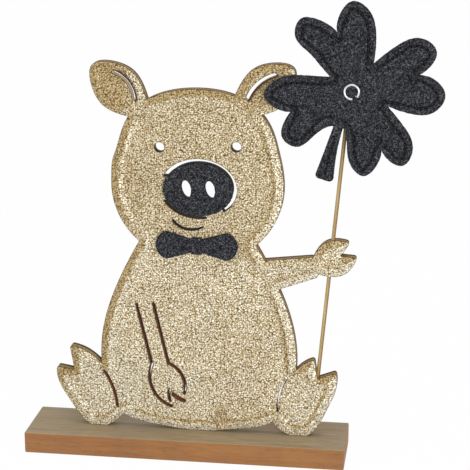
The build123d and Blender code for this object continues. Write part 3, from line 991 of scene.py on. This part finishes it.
class Relief:
    """Flat piece cut to a CAD node's outline, with a finely divided front that heights shape."""

    def __init__(self, name: str, node: str, place: FlatPlace, cut: Cut) -> None:
        """Set points along the outline, in rings inside it and on a grid, and join them up.

        Args:
            name: Piece's name.
            node: CAD node that it replaces.
            place: Plane of its back.
            cut: How it is cut and divided.
        """
        self.name, self.node, self.place = name, node, place
        self.outline = outline = CutOutline(read_loops(node, place, Face.LOW), cut)
        edge = np.concatenate(outline.loops)
        normals = np.concatenate([inward(loop) for loop in outline.loops])
        rings = []
        for ring in cut.rings:
            moved = edge + normals * ring
            rings.append(moved[outline.nearest(moved)[0] > cut.ring_kept * ring])
        low, high = edge.min(0), edge.max(0)
        columns = np.arange(low[0], high[0], cut.grid)
        rows = np.arange(low[1], high[1], cut.grid * math.sqrt(0.75))
        grid = np.concatenate([
            np.column_stack([columns + (number % 2) * cut.grid / 2, np.full(len(columns), row)])
            for number, row in enumerate(rows)
        ])
        inner, grid = (found[outline.inside(found)] for found in (np.concatenate(rings), grid))
        grid = grid[outline.nearest(grid)[0] > cut.rings[-1] + cut.grid_gap * cut.grid]
        runs, start = [], 0
        for loop in outline.loops:
            count = len(loop)
            runs.extend((start + step, start + (step + 1) % count) for step in range(count))
            start += count
        points = [Vector(p) for p in np.concatenate([edge, inner, grid])]
        made = delaunay_2d_cdt(points, runs, [], 0, 1e-5)
        flat = np.array([(v.x, v.y) for v in made[0]])
        triangles = np.array([f for f in made[2] if len(f) == 3])
        triangles = triangles[outline.inside(flat[triangles].mean(1))]
        used = np.unique(triangles)
        order = np.full(len(flat), -1)
        order[used] = np.arange(len(used))
        self.flat, self.triangles = flat[used], order[triangles]

    def build(
        self, heights: Array, marks: dict[str, Array], finish: Material, body: Body, slot: str
    ) -> Piece:
        """Make the closed piece: the shaped front, the walls and the flat back.

        Args:
            heights: Height of every point of the front, in millimetres.
            marks: Values of every point of the front that the finish reads, by name.
            finish: Material of the piece.
            body: Body that carries it.
            slot: Material slot that it shows; not used.

        Returns:
            The new object.
        """
        count = len(self.flat)
        pairs = np.concatenate([self.triangles[:, ends] for ends in ([0, 1], [1, 2], [2, 0])])
        ways = {tuple(pair) for pair in pairs.tolist()}
        rim = [(a, b) for a, b in ways if (b, a) not in ways]
        walls = [(b, a, a + count, b + count) for a, b in rim]
        under = (self.triangles[:, ::-1] + count).tolist()
        sides = [self.place.raised(self.flat, level) for level in (heights, np.zeros(count))]
        faces = [*self.triangles.tolist(), *walls, *under]
        piece = new_piece(self.name, np.concatenate(sides), faces, finish)
        mesh = piece.data
        if Vector(mesh.polygons[0].normal).dot(self.place.out) < 0:
            mesh.flip_normals()
            mesh.update()
        for name, values in marks.items():
            kept = np.concatenate([values, np.zeros(count)]).astype(np.float32)
            mesh.attributes.new(name, "FLOAT", "POINT").data.foreach_set("value", kept)
        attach(piece, body.value)
        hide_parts(self.node)
        return piece


def rounded_drop(distance: Array, radius: float) -> Array:
    """How far a rounded edge lies below the face, at a distance from the edge."""
    short = np.clip(radius - distance, 0, radius)
    return radius - np.sqrt(np.maximum(radius**2 - short**2, 0))


def unrest(points: Array, length: float, seed: int) -> Array:
    """Slow random swell over a flat piece, from about -1 to 1.

    Args:
        points: Places on the piece, in millimetres.
        length: Length of a swell, in millimetres.
        seed: Number that fixes the swell.

    Returns:
        One value for each point.
    """
    random = np.random.default_rng(SEED + seed)
    total = np.zeros(len(points))
    for _ in range(7):
        angle, phase = random.uniform(0, 2 * math.pi, 2)
        wave = 2 * math.pi / (length * random.uniform(0.6, 1.6))
        total += np.sin((points @ np.array([math.cos(angle), math.sin(angle)])) * wave + phase)
    return total / 4


# The object's own pieces


@dataclass
class GlitterCoat:
    """Glitter on the pig's front: a thin coat, a raised rim and a ridge where the stick passes.

    The patches are painted shade on the coat, or painted light where their strength is negative.
    """

    coat: float = 0.5
    rim_crest: float = 4.7
    rim_width: float = 7.6
    rim_height: float = 0.95
    edge_round: float = 0.35
    edge_scorch: float = 0.35
    slit_scorch: float = 0.9
    ear_dark_strip: float = 2.5
    sawn_ears: tuple[Oval, ...] = (Oval(-35.5, 231.5, 13, 14), Oval(45.5, 231, 14, 13))
    hand_left: float = 78.0
    hand_low: float = 112.0
    hand_high: float = 142.0
    ridge_height: float = 0.3
    ridge_width: float = 1.7
    light_side: tuple[float, float] = (0.74, -0.67)
    tone_gain: float = 1.9
    tone_past: float = 0.5
    tone_fade: float = 0.9
    inner_line: float = 1.35
    ridge_light_shade: float = 0.5
    slot_gap: float = 0.2
    slot_gain: float = 1.6
    scorch_gain: float = 1.5
    cut: Cut = Cut(0.9, 1.6, (0.12, 0.3, 0.6, 1.1, 1.8, 2.6, 3.4, 4.1, 4.7, 5.3, 5.9, 6.6, 7.4))
    # Oval where the rim's painted light and shade is weaker.
    even_arm: Oval = Oval(64, 127, 22, 12, 0.5)
    # Painted shade over parts of the coat, and painted light where the strength is negative.
    shade_patches: tuple[Oval, ...] = (
        Oval(-52, 228, 21, 26, 0.95),
        Oval(46, 235, 22, 20, 0.75),
        Oval(42, 133.5, 9, 10, 0.45),
        Oval(66, 126, 20, 9, -0.3),
        Oval(-38, 165, 14, 30, 0.26),
        Oval(78, 38, 24, 30, -0.35),
        Oval(22, 21, 5, 13, 0.62),
        Oval(9, 182, 60, 56, 0.38),
        Oval(44, 60, 26, 40, 0.12),
        Oval(-60, 46, 30, 36, -0.5),
        Oval(-14, 34, 30, 24, -0.35),
    )

    def build(self, finish: Material) -> Piece:
        """Make the coat on the board's front.

        Args:
            finish: Glitter finish.

        Returns:
            The coat.
        """
        place = FlatPlace.facing_front(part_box("pig_plate")[0].y)
        relief = Relief("glitter_coat", "glitter_front", place, self.cut)
        points = relief.flat
        edge, aside = relief.outline.nearest(points)
        distance, direction = relief.outline.nearest(points, outer_only=True)
        ridge, ridge_light_shade = self.ridge(points)
        heights = self.coat + self.rim(distance) + ridge - rounded_drop(edge, self.edge_round)
        # Painted light and shade: the rim is marked lit on the side that faces the light side and
        # shaded on the side that faces away.
        light = np.array(self.light_side) / np.linalg.norm(self.light_side)
        facing = np.clip(-(direction @ light) * self.tone_gain, -1, 1)
        outer = np.clip((self.rim_crest + self.tone_past - distance) / self.tone_fade, 0, 1)
        inner = np.exp(-(((distance - self.rim_crest - self.inner_line) / self.inner_line) ** 2))
        tone = facing * (outer - inner) * (1 - self.even_arm.at(points)) + ridge_light_shade
        for patch in self.shade_patches:
            share = patch.at(points)
            tone = tone * (1 - share) - share
        burnt = self.edge_scorch + (self.slit_scorch - self.edge_scorch) * SAWN_ARM.at(points)
        # Over the ear slots the dark edge band is wider on the right side of each slot.
        right_side = np.clip(aside[:, 0] * self.slot_gain, 0, 1)
        slot_side = np.where(distance > edge + self.slot_gap, right_side, 0)
        for ear in self.sawn_ears:
            burnt += (self.ear_dark_strip - self.edge_scorch) * ear.at(points) * slot_side
        scorch = np.clip(self.scorch_gain * (1 - edge / burnt), 0, 1)
        marks = {"rim_light_shade": np.clip(tone, -1, 1), "scorch": scorch}
        return relief.build(heights, marks, finish, Body.PIG, "glitter")

    def rim(self, distance: Array) -> Array:
        """Height of the rim by the distance from the outline.

        Args:
            distance: Distance from the outer outline.

        Returns:
            The height: a broad rise to the crest and a steeper fall inside it.
        """
        rise = np.sin(np.clip(distance / self.rim_crest, 0, 1) * math.pi / 2)
        fall = np.clip((distance - self.rim_crest) / (self.rim_width - self.rim_crest), 0, 1)
        slope = (1 + np.cos(fall * math.pi)) / 2
        return self.rim_height * np.where(distance < self.rim_crest, rise, slope)

    def ridge(self, points: Array) -> tuple[Array, Array]:
        """Low ridge in the hand over the stick inside it.

        Args:
            points: Places on the pig's front.

        Returns:
            The ridge's height and its painted light and shade, lit on one side and shaded on the
            other.
        """
        along, start = joint("stick_lift")["axis"], joint("clover_turn")["pos_m"]
        axis = np.array([along[0], along[2]])
        axis /= np.linalg.norm(axis)
        side = (points - np.array([start[0], start[2]]) / MM) @ np.array([axis[1], -axis[0]])
        across, up = points.T
        in_hand = (across > self.hand_left) & (up > self.hand_low) & (up < self.hand_high)
        swell = np.where(in_hand, np.exp(-((side / self.ridge_width) ** 2)), 0)
        # Painted light and shade: one side of the ridge lit, the other shaded.
        tone = np.where(in_hand, swell * np.tanh(side) * self.ridge_light_shade, 0)
        return swell * self.ridge_height, tone


@dataclass
class FeltPatch:
    """Felt piece glued on the pig's front."""

    node: str
    name: str
    thickness: float = 2.0
    edge_round: float = 0.9
    swell: float = 0.08
    swell_length: float = 9.0
    pinch: float = 0.0
    pinch_at: float = 4.2
    pinch_width: float = 0.9
    pinch_dark: float = 1.2
    rim_dark: float = 0.5
    rim_width: float = 0.7
    cut: Cut = Cut(0.6, 1.1, (0.1, 0.25, 0.5, 0.8, 1.2), 0.1)

    def build(self, finish: Material) -> Piece:
        """Make the felt piece where its CAD node is.

        Args:
            finish: Felt finish.

        Returns:
            The felt piece.
        """
        low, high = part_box(self.node)
        relief = Relief(self.name, self.node, FlatPlace.facing_front(high.y), self.cut)
        edge = relief.outline.nearest(relief.flat)[0]
        from_middle = np.abs(relief.flat[:, 0] - (low.x + high.x) / 2 / MM)
        crease = self.pinch * np.exp(-(((from_middle - self.pinch_at) / self.pinch_width) ** 2))
        heights = self.thickness + self.swell * unrest(relief.flat, self.swell_length, 3)
        heights = heights - rounded_drop(edge, self.edge_round) - crease
        # Painted shade: darker along the cut edge and in the crease, where there is one.
        rim = np.clip(1 - edge / self.rim_width, 0, 1) * self.rim_dark
        painted_shade = np.clip(crease * self.pinch_dark + rim, 0, 1)
        piece = relief.build(heights, {"painted_shade": painted_shade}, finish, Body.PIG, "felt")
        relief.outline.area()
        return piece


@dataclass
class Clover:
    """Four-leaf clover: two felt layers and the stitches that sew them together."""

    layer: float = 1.8
    edge_round: float = 0.85
    swell: float = 0.1
    swell_length: float = 14.0
    plump: float = 0.22
    plump_from: float = 4.4
    plump_width: float = 5.0
    groove_depth: float = 0.5
    groove_width: float = 0.72
    rim_dark: float = 0.35
    rim_width: float = 0.7
    seam_step: float = 0.6
    stem_points: int = 30
    thread: float = 0.34
    thread_flat: float = 0.8
    thread_band: float = 0.7
    stitch: float = 2.7
    stitch_gap: float = 0.5
    stitch_arch: float = 0.3
    stitch_sink: float = 0.06
    stitch_blunt: float = 0.06
    sides: int = 6
    steps: int = 6
    cut: Cut = Cut(
        0.7, 1.3, (0.1, 0.25, 0.5, 0.85, 1.4, 2.2, 3.0, 3.6, 4.0, 4.4, 4.8, 5.2, 5.8), 0.1
    )

    def places(self) -> tuple[FlatPlace, FlatPlace]:
        """Plane between the two layers, seen from the front and from the back.

        Returns:
            The plane of the front layer and that of the back layer.
        """
        across = Vector((1, 0, 0))
        out = across.cross(Vector(joint("clover_turn")["axis"])).normalized()
        up = out.cross(across)
        points = [out.dot(v.co) for v in frame["nodes"]["clover_front_felt"].data.vertices]
        origin = out * min(points)
        return FlatPlace(origin, across, up, out), FlatPlace(origin, -across, up, -out)

    def build(self, felt: Material, thread: Material) -> list[Piece]:
        """Make both layers, which are cut to one pattern, and their stitches.

        Args:
            felt: Felt finish.
            thread: Thread finish.

        Returns:
            The pieces.
        """
        pieces = []
        for place, side in zip(self.places(), ("front", "back")):
            lines = self.seam_lines(place)
            stitches = self.stitches(f"clover_stitches_{side}", place, lines, thread)
            relief = Relief(f"clover_felt_{side}", f"clover_{side}_felt", place, self.cut)
            pieces += [self.felt_layer(relief, lines, felt), stitches]
        bpy.context.view_layer.update()
        outline = relief.outline
        size = tuple(float(spread) for spread in np.ptp(outline.loops[0], axis=0) * MM)
        area = outline.area()
        return pieces

    def seam_lines(self, place: FlatPlace) -> list[Array]:
        """Middle lines of the sewn seam: round the leaves, and down the stem.

        Args:
            place: Plane of the layer.

        Returns:
            A closed line round the leaves, whose last point repeats its first, and the stem's.
        """
        loops = read_loops("clover_seam", place, Face.HIGH)
        outer = loops[0] if loop_area(loops[0]) > 0 else loops[0][::-1]
        outer = even_loop(outer, self.seam_step)
        ring = outer + inward(outer) * self.thread_band / 2
        stem = loops[-1]
        first, last = stem[:, 1].argmax(), stem[:, 1].argmin()
        turned = np.roll(stem, -first, axis=0)
        cut = (last - first) % len(stem)
        halves = turned[: cut + 1], np.concatenate([turned[:1], turned[: cut - 1 : -1]])
        one, two = (
            points_along(half, np.linspace(0, lengths_along(half)[-1], self.stem_points))
            for half in halves
        )
        return [np.concatenate([ring, ring[:1]]), (one + two) / 2]

    def felt_layer(self, relief: Relief, lines: list[Array], finish: Material) -> Piece:
        """Make one felt layer with the seam pressed into it.

        Args:
            relief: Layer that is shaped.
            lines: Seam's middle lines.
            finish: Felt finish.

        Returns:
            The layer.
        """
        starts = np.concatenate([line[:-1] for line in lines])
        ends = np.concatenate([line[1:] for line in lines])
        seam = nearest_on_runs(relief.flat, starts, ends)[0]
        edge = relief.outline.nearest(relief.flat)[0]
        outer = relief.outline.nearest(relief.flat, outer_only=True)[0]
        groove = np.exp(-((seam / self.groove_width) ** 4))
        plump = self.plump * np.clip(outer - self.plump_from, 0, self.plump_width)
        heights = self.layer + self.swell * unrest(relief.flat, self.swell_length, 5)
        heights = heights + plump / self.plump_width - self.groove_depth * groove
        heights = heights - rounded_drop(edge, self.edge_round)
        # Painted shade in the seam groove and along the cut edge.
        rim = np.clip(1 - edge / self.rim_width, 0, 1) * self.rim_dark
        painted_shade = np.clip(groove + rim, 0, 1)
        return relief.build(heights, {"painted_shade": painted_shade}, finish, Body.CLOVER, "felt")

    def stitches(self, name: str, place: FlatPlace, lines: list[Array], finish: Material) -> Piece:
        """Make the stitches of one face, each a short arched thread that dives in at its ends.

        Args:
            name: Piece's name.
            place: Plane of the layer.
            lines: Seam's middle lines.
            finish: Thread finish.

        Returns:
            The stitches as one piece.
        """
        points: list[Array] = []
        faces: list[list[int]] = []
        share = np.linspace(0, 1, self.steps)
        blunted = np.clip(share, self.stitch_blunt, 1 - self.stitch_blunt)
        thick = self.thread * np.sqrt(np.sin(math.pi * blunted))
        level = self.layer - self.groove_depth
        arch = level + self.stitch_arch * np.sin(math.pi * share) - self.stitch_sink
        corner = np.arange(self.sides)
        angle = corner * 2 * math.pi / self.sides
        after = (corner + 1) % self.sides
        band = np.column_stack([corner, after, after + self.sides, corner + self.sides])
        walls = np.concatenate([band + step * self.sides for step in range(self.steps - 1)])
        caps = np.stack([corner[::-1], corner + (self.steps - 1) * self.sides])
        for line in lines:
            length = lengths_along(line)[-1]
            pitch = length / round(length / (self.stitch + self.stitch_gap))
            for start in np.arange(0, length - 0.5 * pitch, pitch):
                flat = points_along(line, start + (pitch - self.stitch_gap) * share)
                run = np.gradient(flat, axis=0)
                run /= np.linalg.norm(run, axis=1, keepdims=True)
                side = np.column_stack([-run[:, 1], run[:, 0]])
                count = len(points) * self.sides
                faces += [*(walls + count).tolist(), *(caps + count).tolist()]
                for step in range(self.steps):
                    ring = flat[step] + np.outer(np.cos(angle) * thick[step], side[step])
                    rise = np.sin(angle) * thick[step] * self.thread_flat
                    points.append(place.raised(ring, arch[step] + rise))
        piece = new_piece(name, np.concatenate(points), faces, finish)
        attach(piece, Body.CLOVER.value)
        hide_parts("clover_seam")
        return piece


@dataclass
class KeptNode:
    """CAD node whose shape stays as it is, and gets a finish."""

    node: str
    finish: Finish

    def dress(self, groups: EffectGroups) -> Piece:
        """Put the finish on the node.

        Args:
            groups: Shared shader groups.

        Returns:
            The node's object.
        """
        piece = frame["nodes"][self.node]
        material = self.finish.make(groups)
        for slot in piece.material_slots:
            slot.material = material
        return piece


# The studio


@dataclass(frozen=True)
class Lamp:
    """Square lamp that faces the object: its place and side in metres, its power in watts."""

    name: str
    place: Spot
    size: float
    power: float
    aim: Spot = (0.02, 0.0, 0.14)

    def build(self) -> None:
        """Make the lamp."""
        data = bpy.data.lights.new(self.name, "AREA")
        data.size, data.energy = self.size, self.power
        lamp = bpy.data.objects.new(self.name, data)
        lamp.location = self.place
        aim = Vector(self.aim) - lamp.location
        lamp.rotation_euler = aim.to_track_quat("-Z", "Y").to_euler()
        bpy.context.scene.collection.objects.link(lamp)


@dataclass
class Studio:
    """Pale floor, soft light and the camera at the photograph's angle."""

    camera_at: Spot = (0.1541, -0.8840, 0.3918)
    right: Spot = (0.99030, 0.13897, 0.0)
    ahead: Spot = (-0.13378, 0.95330, -0.27079)
    lens: float = 117.36
    floor_size: float = 8.0
    floor_grey: Colour = (0.86, 0.86, 0.86, 1)
    floor_glow: float = 0.985
    sky: float = 0.40
    lamps: tuple[Lamp, ...] = (
        Lamp("key", (0.72, -1.0, 0.26), 0.55, 7.4),
        Lamp("fill", (-0.95, -0.8, 0.14), 0.9, 4.6),
        Lamp("top", (0.05, -0.1, 1.2), 0.9, 3.9),
    )

    def build(self) -> None:
        """Make the floor, the sky, the lamps and the camera."""
        self.floor()
        self.world()
        for lamp in self.lamps:
            lamp.build()
        self.camera()

    def seen(self, sketch: NodeSketch) -> Socket:
        """Mask of the rays that show the background itself.

        Args:
            sketch: Helper on the tree.

        Returns:
            One for camera, glossy and transmission rays.
        """
        path = sketch.add("LightPath").outputs
        both = sketch.math("MAXIMUM", path["Is Camera Ray"], path["Is Glossy Ray"])
        return sketch.math("MAXIMUM", both, path["Is Transmission Ray"])

    def floor(self) -> None:
        """Make the floor, white to the camera but for the shadow on it."""
        material = bpy.data.materials.new("floor_paper")
        material.use_nodes = True
        sketch = NodeSketch(material.node_tree)
        paper = sketch.add("BsdfDiffuse", {"Color": self.floor_grey})
        glow = sketch.add("Emission", {"Color": WHITE, "Strength": 1.0})
        share = sketch.math("MULTIPLY", self.seen(sketch), self.floor_glow)
        mixed = sketch.add("MixShader", {0: share, 1: paper.outputs[0], 2: glow.outputs[0]})
        sketch.add("OutputMaterial", {"Surface": mixed.outputs[0]})
        corners = np.array([(-1, -1, 0), (1, -1, 0), (1, 1, 0), (-1, 1, 0)]) * self.floor_size / 2
        new_piece("floor", corners, [(0, 1, 2, 3)], material)

    def world(self) -> None:
        """Make an even pale sky that the camera sees as white."""
        world = bpy.data.worlds.new("studio")
        bpy.context.scene.world = world
        world.use_nodes = True
        sketch = NodeSketch(world.node_tree)
        light = sketch.add("Background", {"Color": WHITE, "Strength": self.sky})
        white = sketch.add("Background", {"Color": WHITE, "Strength": 1.0})
        inputs = {0: self.seen(sketch), 1: light.outputs[0], 2: white.outputs[0]}
        mixed = sketch.add("MixShader", inputs)
        sketch.add("OutputWorld", {"Surface": mixed.outputs[0]})

    def camera(self) -> None:
        """Make the camera that the photograph's perspective gives."""
        data = bpy.data.cameras.new("camera")
        data.lens, data.sensor_width = self.lens, 36.0
        data.clip_start, data.clip_end = 0.01, 50.0
        camera = bpy.data.objects.new("camera", data)
        right, ahead = Vector(self.right).normalized(), Vector(self.ahead).normalized()
        turn = Matrix((right, right.cross(ahead), -ahead)).transposed().to_4x4()
        camera.matrix_world = Matrix.Translation(self.camera_at) @ turn
        bpy.context.scene.collection.objects.link(camera)
        bpy.context.scene.camera = camera


def main() -> None:
    """Build every piece in order."""
    logging.basicConfig(level=logging.INFO, format="%(name)s: %(message)s")
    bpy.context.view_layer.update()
    bpy.context.scene.view_settings.view_transform = "Standard"
    groups = EffectGroups()
    felt = FibreFinish("felt_anthracite").make(groups)
    colours = srgb(6, 6, 7), srgb(20, 20, 22), srgb(3, 3, 4)
    thread = FibreFinish("thread_dark", *colours, rough=0.7, shine=0.5, fuzz=0.0, depth=0.1 * MM)
    kept = (
        KeptNode("base_board", BaseWoodFinish("base_wood_stained")),
        KeptNode("pig_plate", ScorchedBoardFinish("board_scorched")),
        KeptNode("stick", StickWoodFinish("stick_wood_light")),
        KeptNode("wire_ring", MetalFinish("wire_bright")),
        KeptNode("base_screws", MetalFinish("screw_zinc", srgb(190, 192, 196), 0.35, 0.55)),
    )
    for node in kept:
        LOG.info("dressed %s", node.dress(groups).name)
    coat = GlitterCoat().build(GlitterFinish("glitter_gold").make(groups))
    snout = FeltPatch("felt_snout", "snout_felt").build(felt)
    bow = FeltPatch("felt_bow_tie", "bow_tie_felt", pinch=0.3).build(felt)
    for piece in (coat, snout, bow, *Clover().build(felt, thread.make(groups))):
        LOG.info("made %s with %d points", piece.name, len(piece.data.vertices))
    Studio().build()


if __name__ == "__main__":
    main()
